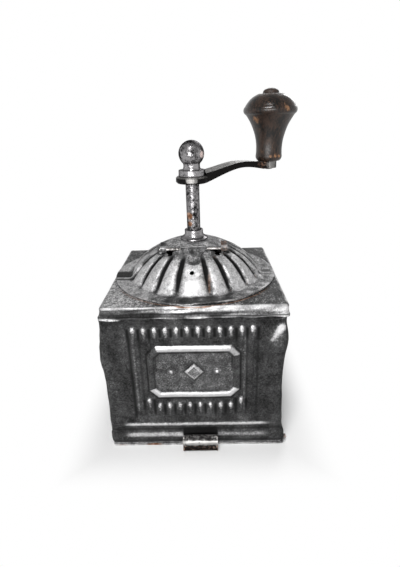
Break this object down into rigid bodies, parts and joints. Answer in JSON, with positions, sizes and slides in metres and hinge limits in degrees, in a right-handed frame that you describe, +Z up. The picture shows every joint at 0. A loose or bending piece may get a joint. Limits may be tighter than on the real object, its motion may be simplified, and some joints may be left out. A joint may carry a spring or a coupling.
{
  "type": "manual coffee grinder",
  "caption": "Box coffee mill in embossed sheet steel with a fluted hinged dome lid, upright shaft, offset crank with turned wooden knob, conical burrs and a drawer.",
  "frame": {"origin": "centre of the base's underside, on the shaft's axis", "axes": "+Z up along the shaft, -Y towards the front panel, +X to the right seen from the front"},
  "size_m": [0.1398, 0.1289, 0.2402],
  "materials": {
    "black_sheet": "blackened pressed steel sheet, worn bright along edges and raised features",
    "dome_sheet": "blackened pressed steel, worn to grey on the lobes, rust in the grooves",
    "shaft_steel": "mottled, pitted and patinated turned steel",
    "arm_steel": "forged bar, dark sides, worn top",
    "cast_iron": "rough casting",
    "burr_steel": "hardened toothed steel",
    "plain_sheet": "dull tinned steel sheet",
    "tab_steel": "handled steel sheet, shiny",
    "fastener": "old steel screws, nuts and rivets",
    "dark_wood": "dark lacquered turned wood, worn brown in places"
  },
  "bodies": {
    "housing": {"base_plate": "black_sheet", "body_shell": "black_sheet", "top_cover": "black_sheet", "dome_rear": "dome_sheet", "hinge_pin": "fastener", "flange_rivets": "fastener", "shaft_collar": "shaft_steel", "collar_nut": "fastener", "hopper_funnel": "plain_sheet", "mill_frame": "cast_iron", "frame_screws": "fastener", "outer_burr": "burr_steel", "lower_bridge": "cast_iron", "bridge_screws": "fastener", "drawer_guide_left": "plain_sheet", "drawer_guide_right": "plain_sheet"},
    "lift": {"thrust_plug": "burr_steel"},
    "adjuster": {"adjusting_screw": "shaft_steel", "lock_nut": "fastener"},
    "crank": {"main_shaft": "shaft_steel", "inner_burr": "burr_steel", "burr_nut": "fastener", "crank_arm": "arm_steel", "ball_nut": "shaft_steel", "knob_spindle": "fastener", "spindle_washer": "fastener"},
    "grip": {"knob": "dark_wood", "knob_cap": "dark_wood"},
    "drawer": {"drawer_front": "black_sheet", "drawer_tray": "plain_sheet", "pull_tab": "tab_steel", "tab_rivets": "fastener"},
    "flap": {"dome_flap": "dome_sheet"}
  },
  "joints": [
    {"name": "burr_lift", "type": "slide", "parent": "housing", "child": "lift", "axis": [0, 0, 1], "range_m": [-0.0005, 0.0005]},
    {"name": "adjuster_turn", "type": "hinge", "parent": "lift", "child": "adjuster", "pos_m": [0, 0, 0.05], "axis": [0, 0, 1], "range_deg": [-180, 180]},
    {"name": "crank_turn", "type": "hinge", "parent": "lift", "child": "crank", "pos_m": [0, 0, 0.113], "axis": [0, 0, 1], "continuous": true},
    {"name": "knob_spin", "type": "hinge", "parent": "crank", "child": "grip", "pos_m": [0.05739, 0.03052, 0.2], "axis": [0, 0, 1], "continuous": true},
    {"name": "drawer_slide", "type": "slide", "parent": "housing", "child": "drawer", "axis": [0, -1, 0], "range_m": [0, 0.085]},
    {"name": "flap_hinge", "type": "hinge", "parent": "housing", "child": "flap", "pos_m": [0, -0.017, 0.13682], "axis": [-1, 0, 0], "range_deg": [0, 80]}
  ],
  "couplings": [
    {"joint": "adjuster_turn", "follows": "burr_lift", "rad_per_m": 6283.2}
  ]
}
